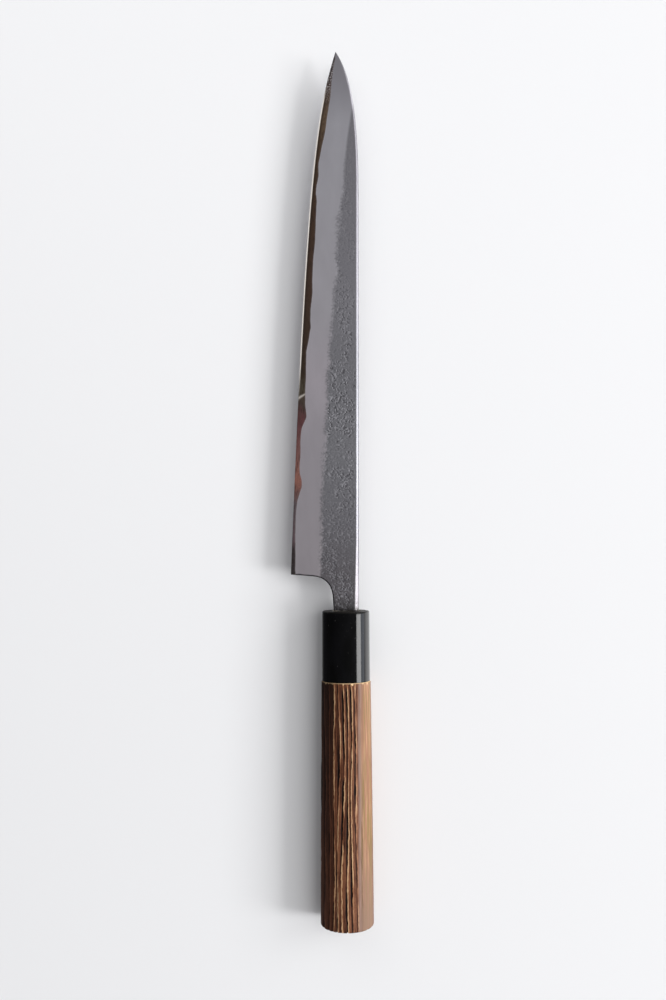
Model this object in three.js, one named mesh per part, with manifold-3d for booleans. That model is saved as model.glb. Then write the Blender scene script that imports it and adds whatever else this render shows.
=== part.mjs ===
// A long slicing knife: a three-layer blade with a tang, glued into an oval wooden handle with a ferrule.
// Millimetres, +Z up. The knife lies level on its right side: the tip points toward +Y, the spine toward +X
// and the left face up. It is drawn with the middle of the ferrule's front face at 0, and then moved so that
// the origin is under the middle of the knife, at the height of the handle's underside.

import * as THREE from 'three';
import { mergeVertices } from 'three/addons/utils/BufferGeometryUtils.js';
import Module from 'manifold-3d';

const wasm = await Module();
wasm.setup();

// Blade outline, with depths and heights counted from the handle's centre line
const edgeLength = 240; // heel to tip, along the knife
const neckLength = 16.7; // ferrule to heel
const heelDepth = 25.1;
const tipDepth = 3.4;
const heelLead = 192; // how far the edge runs out nearly straight from the heel
const heelLeadRise = 8.3;
const edgeTipLead = 27; // how far behind the tip the edge turns up to it
const edgeTipRise = 8.3;
const spineHeight = 6; // top of the neck at the ferrule, where the spine begins
const spineClimb = 1.1; // rise of the spine over the whole edge length
const spineDropLength = 76; // the stretch where the spine curves down to the tip
const spineDropLead = 24.6;
const spineTipLead = 15.5; // how far behind the tip the spine turns down to it
const spineTipDrop = 10.9;
const neckDepth = 5.5; // underside of the neck at the ferrule
const neckFlare = 1.1; // how much deeper the neck is where it meets the heel's back
const heelLean = 1.4; // the heel's back leans toward the handle by this much
const notchFillet = 9; // size of the curve between the heel's back and the neck
const tipBlunt = 0.15; // the last sliver of the point that is left off

// Blade thickness, and the layers that the bevels lay bare
const neckThickness = 3.8;
const tipThickness = 1.8;
const edgeThickness = 0.16;
const bevelWidth = 13.4; // edge to the line where the flat begins
const spineRound = 1.3; // how far down the faces the rounding of the spine reaches
const spineFlat = 0.4; // flat that is left along the top of the spine
const coreShow = 2.3; // mean width of the core that shows above the edge
const slowWaveLength = 80; // that line wanders in three waves, each with a height and a place where it starts
const slowWaveHeight = 0.4;
const slowWaveStart = 55;
const middleWaveLength = 41;
const middleWaveHeight = 0.36;
const middleWaveStart = 5;
const quickWaveLength = 19;
const quickWaveHeight = 0.22;
const quickWaveStart = 8;
const layerGap = 0.02; // weld line between two layers

// Tang
const tangEndHeight = 5;
const tangEndThickness = 2.4;
const solidButt = 44; // wood behind the tang's end

// Ferrule and wood, whose sections are ovals
const ferruleLength = 31.9;
const ferruleFrontWidth = 21.7;
const ferruleRearWidth = 22;
const ferruleRound = 0.8;
const ferruleFace = 11; // solid stretch in front of the socket
const ferruleWall = 1.6; // wall around the socket
const woodLength = 112.3;
const woodFrontWidth = 22.6;
const woodButtWidth = 24.4;
const woodSwell = 0.16; // how much fuller than a straight taper the middle is
const woodChamfer = 0.5; // broken edge beside the ferrule
const buttRound = 1.4;
const woodButtThickness = 21.5; // across the faces; ferrule and wood keep the oval that this gives

// Glue, resin and their clearances
const glueLine = 0.15;
const beddingWall = 0.8; // resin around the tang
const beddingTail = 4; // resin past the tang's end
const sealDepth = 3;
const sealProud = 0.5; // the bead of sealing resin stands out of the ferrule by this much

// Smoothness of the facets
const ovalSides = 64;
const roundSteps = 4;
const bladeStep = 6;
const woodStep = 16;
const cutMargin = 5; // how far a cutting body reaches past what it cuts

// Solids from geometry and back
function solidOf(geometry) {
  const bare = geometry.clone();
  bare.deleteAttribute('normal');
  bare.deleteAttribute('uv');
  const merged = mergeVertices(bare);
  const corners = merged.index.array;
  const triangles = [];
  for (let i = 0; i < corners.length; i += 3) {
    const [a, b, c] = corners.slice(i, i + 3);
    if (a !== b && b !== c && c !== a) triangles.push(a, b, c);
  }
  const vertProperties = new Float32Array(merged.attributes.position.array);
  const triVerts = new Uint32Array(triangles);
  return new wasm.Manifold(new wasm.Mesh({ numProp: 3, vertProperties, triVerts }));
}

function geometryOf(solid) {
  const mesh = solid.getMesh();
  const geometry = new THREE.BufferGeometry();
  geometry.setAttribute('position', new THREE.BufferAttribute(new Float32Array(mesh.vertProperties), 3));
  geometry.setIndex(new THREE.BufferAttribute(new Uint32Array(mesh.triVerts), 1));
  const faceted = geometry.toNonIndexed();
  faceted.computeVertexNormals();
  return faceted;
}

// A closed loft through rings of points, each ring convex and turning counter-clockwise as seen from the tip
function loft(rings) {
  const count = rings[0].length;
  const positions = rings.flat().flatMap((point) => [point.x, point.y, point.z]);
  const index = [];
  for (let r = 0; r < rings.length - 1; r++) {
    for (let i = 0; i < count; i++) {
      const here = r * count + i;
      const next = r * count + ((i + 1) % count);
      index.push(here, next, here + count);
      index.push(next, next + count, here + count);
    }
  }
  const last = (rings.length - 1) * count;
  for (let i = 1; i < count - 1; i++) {
    index.push(0, i + 1, i);
    index.push(last, last + i, last + i + 1);
  }
  const geometry = new THREE.BufferGeometry();
  geometry.setAttribute('position', new THREE.BufferAttribute(new Float32Array(positions), 3));
  geometry.setIndex(index);
  return geometry;
}

const ringAt = (y, section) => section.map(([x, z]) => new THREE.Vector3(x, y, z));
const mix = THREE.MathUtils.lerp;

// Evenly spaced places from one to another, about a step apart
function stations(from, to, step) {
  const count = Math.max(1, Math.round((to - from) / step));
  return Array.from({ length: count + 1 }, (_, i) => mix(from, to, i / count));
}

// Points of a quarter round that leads from a side to an end, as [place across, place along]
function quarterRound(side, end, sideSize, endSize) {
  const quarter = Math.PI / 2;
  return stations(0, quarter, quarter / roundSteps).map((angle) => [
    side - sideSize * (1 - Math.cos(angle)),
    end - endSize * (1 - Math.sin(angle)),
  ]);
}

// The height that a curve has at a given place along the knife
function heightAt(curve, y) {
  let low = 0;
  let high = 1;
  for (let i = 0; i < 40; i++) {
    const middle = (low + high) / 2;
    if (curve.getPoint(middle).y < y) low = middle;
    else high = middle;
  }
  return curve.getPoint((low + high) / 2).x;
}

// Outline of the blade: x is the height above the centre line, y runs toward the tip
const heel = new THREE.Vector2(-heelDepth, neckLength);
const tip = new THREE.Vector2(-tipDepth, neckLength + edgeLength);
const spineSlope = spineClimb / edgeLength;
const spineAt = (y) => spineHeight + spineSlope * y;
const dropStart = tip.y - spineDropLength;

const edgeCurve = new THREE.CubicBezierCurve(
  heel,
  new THREE.Vector2(heel.x + heelLeadRise, heel.y + heelLead),
  new THREE.Vector2(tip.x - edgeTipRise, tip.y - edgeTipLead),
  tip,
);

const spineDrop = new THREE.CubicBezierCurve(
  new THREE.Vector2(spineAt(dropStart), dropStart),
  new THREE.Vector2(spineAt(dropStart + spineDropLead), dropStart + spineDropLead),
  new THREE.Vector2(tip.x + spineTipDrop, tip.y - spineTipLead),
  tip,
);

// The edge is carried straight on behind the heel, where the notch is cut away later
const edgeSlope = heelLeadRise / heelLead;
const edgeAt = (y) => (y < heel.y ? heel.x + edgeSlope * (y - heel.y) : heightAt(edgeCurve, y));

// The tang tapers away from the neck in height and in thickness
const ferruleRear = -ferruleLength;
const woodFront = ferruleRear - glueLine;
const butt = woodFront - woodLength;
const tangEnd = butt + solidButt;
const tangShare = (y) => THREE.MathUtils.clamp(y / tangEnd, 0, 1);
const tangTop = (y) => mix(spineHeight, tangEndHeight / 2, tangShare(y));
const tangBottom = (y) => mix(-neckDepth, -tangEndHeight / 2, tangShare(y));
const tangHalf = (y) => mix(neckThickness, tangEndThickness, tangShare(y)) / 2;

function topAt(y) {
  if (y < 0) return tangTop(y);
  return y < dropStart ? spineAt(y) : heightAt(spineDrop, y);
}

// Half the thickness, on the flat and then at any height above the edge
const flatHalf = (y) => (y < 0 ? tangHalf(y) : mix(neckThickness, tipThickness, y / tip.y) / 2);
const edgeHalf = edgeThickness / 2;
const halfAt = (y, aboveEdge) => mix(edgeHalf, flatHalf(y), Math.min(aboveEdge / bevelWidth, 1));

// One section of the blade: edge, bevel line, flat and rounded spine on both faces
function bladeSection(y) {
  const bottom = edgeAt(y);
  const top = topAt(y);
  const tall = top - bottom;
  const round = Math.min(spineRound, tall / 3);
  const bevelTop = Math.min(bevelWidth, tall - round);
  const spineHalf = halfAt(y, tall - round);
  const roundHalf = Math.max(spineHalf - spineFlat / 2, spineHalf / 2);
  const face = [
    [bottom, edgeHalf],
    [bottom + bevelTop, halfAt(y, bevelTop)],
    ...quarterRound(spineHalf, top, roundHalf, round).map(([z, x]) => [x, z]),
  ];
  const otherFace = face.map(([x, z]) => [x, -z]).reverse();
  return [...face, ...otherFace];
}

// Places along the blade, closer together where the spine curves down to the tip
const bladePlaces = [
  tangEnd,
  ...stations(0, dropStart, 2 * bladeStep),
  ...stations(dropStart, tip.y - bladeStep, bladeStep / 2).slice(1),
  ...stations(tip.y - bladeStep, tip.y - tipBlunt, bladeStep / 4).slice(1),
];

// The notch behind the heel, with everything under the neck and the tang
function notchCutter() {
  const neckLine = (y) => -neckDepth - neckFlare * (y / neckLength);
  const cornerY = neckLength - heelLean;
  const corner = new THREE.Vector2(neckLine(cornerY), cornerY);
  const fillet = Math.min(notchFillet, cornerY);
  const backSlope = heelLean / (corner.x - heel.x);
  const along = corner.x - fillet;
  const outside = heel.x - cutMargin;
  const behind = tangEnd - cutMargin;
  const shape = new THREE.Shape()
    .moveTo(outside, heel.y + backSlope * cutMargin)
    .lineTo(along, heel.y - backSlope * (along - heel.x))
    .quadraticCurveTo(corner.x, corner.y, neckLine(cornerY - fillet), cornerY - fillet)
    .lineTo(neckLine(0), 0)
    .lineTo(tangBottom(tangEnd), tangEnd)
    .lineTo(tangBottom(tangEnd), behind)
    .lineTo(outside - edgeSlope * (heel.y - behind), behind);
  const depth = neckThickness + cutMargin;
  const prism = new THREE.ExtrudeGeometry(shape, { depth, bevelEnabled: false });
  return prism.translate(0, 0, -depth / 2);
}

// Half the thickness of the core: the bevel meets it at the wandering line above the edge
const coreWaves = [
  { length: slowWaveLength, height: slowWaveHeight, start: slowWaveStart },
  { length: middleWaveLength, height: middleWaveHeight, start: middleWaveStart },
  { length: quickWaveLength, height: quickWaveHeight, start: quickWaveStart },
];
function coreHalf(y) {
  const wander = (sum, wave) => sum + wave.height * Math.sin((2 * Math.PI * (y - wave.start)) / wave.length);
  const shows = y < heel.y ? coreShow : coreWaves.reduce(wander, coreShow);
  return halfAt(y, shows);
}

// A layer of the blade, as a prism across it: between the faces below and above, given as heights over y
function layerPrism(below, above) {
  const places = [
    tangEnd - cutMargin,
    0,
    ...stations(heel.y, tip.y + cutMargin, bladeStep),
  ];
  const outline = [
    ...places.map((y) => new THREE.Vector2(y, below(y))),
    ...places.reverse().map((y) => new THREE.Vector2(y, above(y))),
  ];
  const depth = 2 * (heelDepth + cutMargin);
  const prism = new THREE.ExtrudeGeometry(new THREE.Shape(outline), { depth, bevelEnabled: false });
  const turn = new THREE.Matrix4().makeBasis(
    new THREE.Vector3(0, 1, 0),
    new THREE.Vector3(0, 0, 1),
    new THREE.Vector3(1, 0, 0),
  );
  return prism.applyMatrix4(turn).translate(-depth / 2, 0, 0);
}

const bladeBlank = solidOf(loft(bladePlaces.map((y) => ringAt(y, bladeSection(y)))));
const blade = bladeBlank.subtract(solidOf(notchCutter()));
const outsideFace = () => neckThickness;
const layerFace = (y) => coreHalf(y) + layerGap;

const coreSteel = blade.intersect(solidOf(layerPrism((y) => -coreHalf(y), coreHalf)));
const leftCladding = blade.intersect(solidOf(layerPrism(layerFace, outsideFace)));
const rightCladding = blade.intersect(
  solidOf(layerPrism(() => -outsideFace(), (y) => -layerFace(y))),
);

// A bar with the tang's own tapers, grown on every side, from one place to another
function tangBar(grow, front, back) {
  const section = (y) => {
    const half = tangHalf(y) + grow;
    const top = tangTop(y) + grow;
    const bottom = tangBottom(y) - grow;
    return [[bottom, half], [top, half], [top, -half], [bottom, -half]];
  };
  const places = front > 0 ? [back, 0, front] : [back, front];
  return solidOf(loft(places.map((y) => ringAt(y, section(y)))));
}

// An oval body turned about the handle's centre line: a profile of radius against place, flattened
const ovalFlatness = woodButtThickness / woodButtWidth;
function ovalBody(profile) {
  const points = profile.map(([radius, y]) => new THREE.Vector2(radius, y));
  return solidOf(new THREE.LatheGeometry(points, ovalSides).scale(1, 1, ovalFlatness));
}

// A straight oval plug on the centre line
const ovalPlug = (radius, front, back) => ovalBody([[0, back], [radius, back], [radius, front], [0, front]]);

const tenonFront = -ferruleFace;
const tenonRadius = ferruleFrontWidth / 2 - ferruleWall;
const beddingFront = -sealDepth - glueLine;
const beddingBack = tangEnd - beddingTail;
const boreGrow = beddingWall + glueLine;
const bore = tangBar(boreGrow, cutMargin, beddingBack - glueLine);

// Ferrule: a tapered oval cap, with a socket for the wood behind and the tang's hole in front
function makeFerrule() {
  const outside = ovalBody([
    [0, ferruleRear],
    [ferruleRearWidth / 2, ferruleRear],
    ...quarterRound(ferruleFrontWidth / 2, 0, ferruleRound, ferruleRound),
    [0, 0],
  ]);
  const socket = ovalPlug(tenonRadius + glueLine, tenonFront + glueLine, ferruleRear - cutMargin);
  return outside.subtract(socket).subtract(bore);
}

// Wood: a long oval taper with a slight swell, a spigot in front and a blind hole for the tang
function makeWood() {
  const sides = stations(butt + buttRound, woodFront - woodChamfer, woodStep).map((y) => {
    const share = (y - butt) / woodLength;
    const swell = woodSwell * 4 * share * (1 - share);
    return [(mix(woodButtWidth, woodFrontWidth, share) + swell) / 2, y];
  });
  const outside = ovalBody([
    [0, butt],
    ...quarterRound(woodButtWidth / 2, butt, buttRound, -buttRound).slice(1).reverse(),
    ...sides,
    [woodFrontWidth / 2 - woodChamfer, woodFront],
    [0, woodFront],
  ]);
  return outside.add(ovalPlug(tenonRadius, tenonFront, woodFront - cutMargin)).subtract(bore);
}

// Resin that beds the tang in its hole, and the bead that seals the mouth of the hole
const tangHole = tangBar(glueLine, cutMargin, tangEnd - glueLine);
const tangBedding = tangBar(beddingWall, beddingFront, beddingBack).subtract(tangHole);
const mouthSeal = tangBar(beddingWall, sealProud, -sealDepth).subtract(tangHole);

// Finishes
const finish = (color, roughness, metalness) => new THREE.MeshStandardMaterial({ color, roughness, metalness });

const knife = new THREE.Group();
function addPiece(name, solid, material) {
  const mesh = new THREE.Mesh(geometryOf(solid), material);
  mesh.name = name;
  knife.add(mesh);
}
addPiece('core_steel', coreSteel, finish(0x4a3a36, 0.25, 1));
addPiece('left_cladding', leftCladding, finish(0x86848a, 0.42, 1));
addPiece('right_cladding', rightCladding, finish(0x86848a, 0.42, 1));
addPiece('ferrule', makeFerrule(), finish(0x0e0d0d, 0.15, 0));
addPiece('handle_wood', makeWood(), finish(0x6b4a32, 0.65, 0));
addPiece('tang_bedding', tangBedding, finish(0xb59a6a, 0.5, 0));
addPiece('mouth_seal', mouthSeal, finish(0x8a857c, 0.5, 0));

// The origin is under the middle of the knife, level with the handle's underside
const box = new THREE.Box3().setFromObject(knife);
const middle = box.getCenter(new THREE.Vector3());
knife.position.set(-middle.x, -middle.y, -box.min.z);

export default knife;
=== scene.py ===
import math

import bpy
import numpy as np
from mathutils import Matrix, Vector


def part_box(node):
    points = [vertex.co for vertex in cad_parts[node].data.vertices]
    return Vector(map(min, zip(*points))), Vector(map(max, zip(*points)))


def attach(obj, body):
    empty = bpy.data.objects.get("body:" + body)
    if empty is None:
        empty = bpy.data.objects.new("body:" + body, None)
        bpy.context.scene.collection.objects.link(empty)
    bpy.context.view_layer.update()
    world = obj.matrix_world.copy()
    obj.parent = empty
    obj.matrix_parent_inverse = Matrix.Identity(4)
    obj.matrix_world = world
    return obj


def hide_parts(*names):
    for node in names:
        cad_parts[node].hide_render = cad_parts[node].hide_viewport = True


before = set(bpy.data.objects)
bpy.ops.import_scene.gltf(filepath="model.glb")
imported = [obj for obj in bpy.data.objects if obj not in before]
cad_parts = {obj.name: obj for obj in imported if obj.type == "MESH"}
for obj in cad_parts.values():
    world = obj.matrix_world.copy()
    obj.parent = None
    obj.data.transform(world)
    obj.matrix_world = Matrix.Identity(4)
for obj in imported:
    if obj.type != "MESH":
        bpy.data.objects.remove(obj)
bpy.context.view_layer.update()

# Every shape below is in millimetres, counted from the middle of the ferrule's front face:
# x toward the spine, y toward the tip, z up out of the blade's left face
ferruleLow, ferruleHigh = (np.array(corner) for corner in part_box("ferrule"))
woodLow, woodHigh = (np.array(corner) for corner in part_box("handle_wood"))
origin = np.array([
    (ferruleLow[0] + ferruleHigh[0]) / 2,
    ferruleHigh[1],
    (ferruleLow[2] + ferruleHigh[2]) / 2,
])
jointY = (ferruleLow[1] - origin[1]) * 1000
buttY = (woodLow[1] - origin[1]) * 1000
# thickness of the handle over its width
ovalFlatness = (woodHigh[2] - woodLow[2]) / (woodHigh[0] - woodLow[0])
print("frame loaded, handle", round(-buttY, 1), "mm")


# Shared tools

latticeSize = 512  # random values along each side of the lattice, which then repeats
sharpAngle = 35  # degrees from which an edge stays sharp


# Eased step: 0 below low, 1 above high, and 3s^2 - 2s^3 of the share s between them
def easeStep(low, high, value):
    share = np.clip((value - low) / (high - low), 0, 1)
    return share * share * (3 - 2 * share)


# Lattice noise from 0 to 1: random values on a square lattice, blended by eased shares
# between the four nearest
def latticeNoise(u, v, seed):
    table = np.random.default_rng(seed).random((latticeSize, latticeSize))
    cellU, cellV = np.floor(u).astype(int), np.floor(v).astype(int)
    shareU, shareV = easeStep(0, 1, u - cellU), easeStep(0, 1, v - cellV)
    corner = lambda u, v: table[(cellU + u) % latticeSize, (cellV + v) % latticeSize]
    near = corner(0, 0) * (1 - shareU) + corner(1, 0) * shareU
    far = corner(0, 1) * (1 - shareU) + corner(1, 1) * shareU
    return near * (1 - shareV) + far * shareV


# Points of a Bezier curve: each control point weighted by its Bernstein polynomial
def bezier(controls, count):
    share = np.linspace(0, 1, count)[:, None]
    degree = len(controls) - 1
    weight = lambda i: math.comb(degree, i) * share**i * (1 - share) ** (degree - i)
    return sum(weight(i) * np.array(point, float) for i, point in enumerate(controls))


# The same line with points at the given shares of its length
def resample(line, shares):
    along = np.concatenate([[0], np.cumsum(np.linalg.norm(np.diff(line, axis=0), axis=1))])
    wanted = shares * along[-1]
    return np.column_stack([np.interp(wanted, along, values) for values in line.T])


# Corner numbers of the quads of a grid of rows and columns, with the columns closed into
# rings if asked
def gridQuads(rows, columns, first=0, closed=False):
    across = columns if closed else columns - 1
    row, column = np.meshgrid(np.arange(rows - 1), np.arange(across), indexing="ij")
    beside = (column + 1) % columns
    corners = [row * columns + column, row * columns + beside]
    corners += [(row + 1) * columns + beside, (row + 1) * columns + column]
    return first + np.stack(corners, axis=-1).reshape(-1, 4)


# A finished piece at the frame's place: points in metres, faces smooth but for sharp edges,
# and a value for each point in every layer
def makePiece(name, points, faces, node, material, layers):
    mesh = bpy.data.meshes.new(name)
    mesh.from_pydata((points * 0.001 + origin).tolist(), [], faces)
    mesh.polygons.foreach_set("use_smooth", np.ones(len(mesh.polygons), bool))
    mesh.set_sharp_from_angle(angle=math.radians(sharpAngle))
    for layer, values in layers.items():
        attribute = mesh.attributes.new(layer, "FLOAT", "POINT")
        attribute.data.foreach_set("value", np.ascontiguousarray(values, np.float32).ravel())
    mesh.materials.append(material)
    mesh.validate()
    piece = bpy.data.objects.new(name, mesh)
    bpy.context.scene.collection.objects.link(piece)
    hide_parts(node)
    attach(piece, "root")
    print(name, len(faces), "faces")


# Shader helpers

def newMaterial(name):
    material = bpy.data.materials.new(name)
    material.use_nodes = True
    material.node_tree.nodes.clear()
    return material, material.node_tree


# A node with its plain values set and its other inputs joined to sockets
def addNode(tree, kind, values=None, links=None, **settings):
    made = tree.nodes.new(kind)
    for key, value in settings.items():
        setattr(made, key, value)
    for key, value in (values or {}).items():
        made.inputs[key].default_value = value
    for key, socket in (links or {}).items():
        tree.links.new(socket, made.inputs[key])
    return made


# A socket is joined to an input, a number or a colour is set on it
def feed(tree, target, source):
    if isinstance(source, bpy.types.NodeSocket):
        tree.links.new(source, target)
    else:
        target.default_value = (*source, 1) if isinstance(source, tuple) else source


def mixColours(tree, factor, first, second, blend="MIX"):
    mix = addNode(tree, "ShaderNodeMix", data_type="RGBA", blend_type=blend)
    for index, source in ((0, factor), (6, first), (7, second)):
        feed(tree, mix.inputs[index], source)
    return mix.outputs[2]


# One calculation of a shader, with sockets and numbers as its terms
def mathOf(tree, operation, *terms, clamp=False):
    made = addNode(tree, "ShaderNodeMath", operation=operation, use_clamp=clamp)
    for target, term in zip(made.inputs, terms):
        feed(tree, target, term)
    return made.outputs[0]


def rampOf(tree, socket, stops):
    ramp = addNode(tree, "ShaderNodeValToRGB", links={"Fac": socket})
    while len(ramp.color_ramp.elements) < len(stops):
        ramp.color_ramp.elements.new(0.5)
    for element, (place, colour) in zip(ramp.color_ramp.elements, stops):
        element.position = place
        element.color = (*colour, 1)
    return ramp.outputs["Color"]


def rangeOf(tree, socket, low, high, toLow, toHigh):
    values = {"From Min": low, "From Max": high, "To Min": toLow, "To Max": toHigh}
    return addNode(tree, "ShaderNodeMapRange", values, {"Value": socket}).outputs["Result"]


def attributeOf(tree, name):
    return addNode(tree, "ShaderNodeAttribute", attribute_name=name).outputs["Fac"]


# Noise over the object's own coordinates, with its cell size in millimetres along each axis
def objectNoise(tree, cell, detail):
    place = addNode(tree, "ShaderNodeTexCoord").outputs["Object"]
    scale = [1000 / size for size in cell]
    scaled = addNode(tree, "ShaderNodeMapping", {"Scale": scale}, {"Vector": place}).outputs["Vector"]
    values = {"Scale": 1.0, "Detail": detail, "Roughness": 0.55}
    return addNode(tree, "ShaderNodeTexNoise", values, {"Vector": scaled}).outputs["Fac"]


# Place along the knife, from the handle to the tip, in metres
def alongKnife(tree):
    place = addNode(tree, "ShaderNodeTexCoord").outputs["Object"]
    return addNode(tree, "ShaderNodeSeparateXYZ", links={"Vector": place}).outputs["Y"]


# A range of places along the knife, in millimetres from the ferrule's front, brought to other values
def rangeAlong(tree, start, end, toStart, toEnd):
    start, end = (origin[1] + place * 0.001 for place in (start, end))
    return rangeOf(tree, alongKnife(tree), start, end, toStart, toEnd)


def bumpOf(tree, height, strength, depth):
    values = {"Strength": strength, "Distance": depth * 0.001}
    return addNode(tree, "ShaderNodeBump", values, {"Height": height}).outputs["Normal"]


def finishMaterial(tree, values, links):
    shader = addNode(tree, "ShaderNodeBsdfPrincipled", values, links).outputs["BSDF"]
    addNode(tree, "ShaderNodeOutputMaterial", links={"Surface": shader})


# Blade: outline, thickness and layers

bladeForm = {
    "neckLength": 16.7, "edgeLength": 240.0, "heelDepth": 25.1, "tipDepth": 3.4,
    "heelLead": 192.0, "heelLeadRise": 8.3, "edgeTipLead": 27.0, "edgeTipRise": 8.3,
    "spineHeight": 6.0, "spineClimb": 1.1, "spineDropLength": 76.0, "spineDropLead": 24.6,
    "spineTipLead": 15.5, "spineTipDrop": 10.9,
    "neckDepth": 5.5, "neckFlare": 1.1, "heelLean": 1.4, "notchFillet": 9.0,
    "neckThickness": 3.8, "tipThickness": 1.8, "edgeThickness": 0.16,
    "tipBlunt": 0.15, "insideFerrule": 2.6,  # the neck runs on into the ferrule by this much
    "notchReach": 6.0,  # how far past the heel the notch's rounding is looked for
    "spineRound": 0.4, "notchRound": 0.45,  # rounding along the spine and around the notch
    "notchLeft": 0.45,  # share of the thickness that the rounding leaves at the notch
    # slanted strip along the spine: place along the blade and width there, its slope, and the
    # most that it takes of the thickness
    "spineStrip": ((0, 1.9), (14, 1.6), (32, 1.18), (60, 1.14), (190, 1.05), (257, 0.55)),
    "spineSlope": 0.55, "slantMost": 0.75,
    # bare core above the edge: place along the blade and width there
    "coreLine": (
        (16, 2.3), (19, 1.95), (26, 1.8), (30, 1.6), (35, 1.35), (46, 1.2), (51, 1.75), (54, 2.6),
        (57, 3.5), (60, 3.2), (63, 2.2), (66, 2.05), (73, 2.15), (80, 1.9), (84, 2.25), (87, 3.4),
        (89, 4.2), (92, 3.75), (95, 3.3), (101, 3.05), (108, 3.1), (119, 2.6), (125, 3.55),
        (130, 4.05), (137, 3.6), (146, 3.9), (153, 3.55), (161, 3.3), (169, 3.65), (178, 3.3),
        (188, 2.95), (192, 2.2), (195, 2.3), (200, 2.7), (205, 2.1), (214, 2.85), (220, 3.35),
        (234, 3.25), (239, 2.8), (243, 2.05), (247, 1.6), (257, 0.5),
    ),
    "coreSmooth": 2.6, "coreRagged": 0.1, "coreCells": (3.1, 1.1), "coreShare": 0.3,
    "layerGap": 0.01, "layerLeast": 0.005,  # between the layers, and the thinnest that cladding gets
    # bevel: place along the blade and width there
    "bevelLine": (
        (16, 12.7), (37, 13.0), (51, 13.1), (65, 12.7), (78, 13.2), (92, 13.4), (106, 13.3),
        (120, 12.9), (134, 13.9), (147, 14.1), (161, 14.2), (175, 13.4), (189, 14.1), (202, 14.2),
        (216, 14.0),
    ),
    "bevelSmooth": 12.0,
}

heelX, heelY = -bladeForm["heelDepth"], bladeForm["neckLength"]
tipX, tipY = -bladeForm["tipDepth"], heelY + bladeForm["edgeLength"]
dropY = tipY - bladeForm["spineDropLength"]
spineSlope = bladeForm["spineClimb"] / bladeForm["edgeLength"]


# Straight part of the spine: its height at the ferrule and its climb
def spineLine(y):
    return bladeForm["spineHeight"] + spineSlope * y


edgeCurve = bezier([
    (heelX, heelY),
    (heelX + bladeForm["heelLeadRise"], heelY + bladeForm["heelLead"]),
    (tipX - bladeForm["edgeTipRise"], tipY - bladeForm["edgeTipLead"]),
    (tipX, tipY),
], 1500)
dropCurve = bezier([
    (spineLine(dropY), dropY),
    (spineLine(dropY + bladeForm["spineDropLead"]), dropY + bladeForm["spineDropLead"]),
    (tipX + bladeForm["spineTipDrop"], tipY - bladeForm["spineTipLead"]),
    (tipX, tipY),
], 900)


# Height of the edge at y: the Bezier curve, carried straight on behind the heel
def edgeAt(y):
    behind = heelX + (y - heelY) * bladeForm["heelLeadRise"] / bladeForm["heelLead"]
    return np.where(y < heelY, behind, np.interp(y, edgeCurve[:, 1], edgeCurve[:, 0]))


# Height of the spine at y: a straight line that turns into the Bezier drop
def spineAt(y):
    return np.where(y < dropY, spineLine(y), np.interp(y, dropCurve[:, 1], dropCurve[:, 0]))


# Half the thickness of the flat at y: a straight taper from the neck to the tip
def flatHalf(y):
    share = np.clip(y, 0, None) / tipY
    return (bladeForm["neckThickness"] * (1 - share) + bladeForm["tipThickness"] * share) / 2


tableStep = 0.1
tableY = np.arange(-30, tipY + 30, tableStep)


# Line along the blade: straight between the settings' places, smoothed by a raised-cosine window
def smoothLine(places, widths, window):
    weights = np.hanning(int(window / tableStep) + 2)
    padded = np.pad(np.interp(tableY, places, widths), len(weights), mode="edge")
    return np.convolve(padded, weights / weights.sum(), "same")[len(weights):-len(weights)]


bevelTable = smoothLine(*np.array(bladeForm["bevelLine"], float).T, bladeForm["bevelSmooth"])


# Width of the bevel at y, read from its smoothed line
def bevelWidthAt(y):
    return np.interp(y, tableY, bevelTable)


# Half the thickness at a height above the edge: straight from the edge to the bevel line, then
# the flat
def halfAt(y, above):
    share = np.clip(above / bevelWidthAt(y), 0, 1)
    return bladeForm["edgeThickness"] / 2 * (1 - share) + flatHalf(y) * share


# Core line of each side: the other side has the same line turned end for end
corePlaces, coreWidths = np.array(bladeForm["coreLine"], float).T
coreTables = {
    1: smoothLine(corePlaces, coreWidths, bladeForm["coreSmooth"]),
    -1: smoothLine(heelY + tipY - corePlaces[::-1], coreWidths[::-1], bladeForm["coreSmooth"]),
}


# Width of bare core above the edge at y: the side's line and a ragged wander of a long and a
# short noise, never more than its share of the blade
def coreWidthAt(y, side):
    longCell, shortCell = bladeForm["coreCells"]
    ragged = 2 * latticeNoise(y / longCell, y * 0 + 3.5 + side, 11) - 1
    ragged = ragged + latticeNoise(y / shortCell, y * 0 + 7.5 + side, 12) - 0.5
    shown = np.interp(y, tableY, coreTables[side]) + bladeForm["coreRagged"] * ragged
    return np.minimum(shown, bladeForm["coreShare"] * (spineAt(y) - edgeAt(y)))


# Half the core's thickness at y: the blade's, where the core line lies
def coreHalfAt(y, side):
    return halfAt(y, coreWidthAt(y, side))


# Outline under the neck and round the notch to the heel's back, as far down as stopX
def notchLine(stopX):
    form = bladeForm
    neckLine = lambda y: -form["neckDepth"] - form["neckFlare"] * np.clip(y, 0, None) / heelY
    cornerY = heelY - form["heelLean"]
    cornerX = neckLine(cornerY)
    fillet = form["notchFillet"]
    backAt = lambda x: heelY - form["heelLean"] * (x - heelX) / (cornerX - heelX)
    under = np.linspace(-form["insideFerrule"], cornerY - fillet, 30)
    curve = bezier([
        (neckLine(cornerY - fillet), cornerY - fillet),
        (cornerX, cornerY),
        (cornerX - fillet, backAt(cornerX - fillet)),
    ], 60)
    back = np.linspace(cornerX - fillet, stopX, 30)
    return np.vstack([
        np.column_stack([neckLine(under), under]),
        curve[1:],
        np.column_stack([back, backAt(back)])[1:],
    ])


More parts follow.
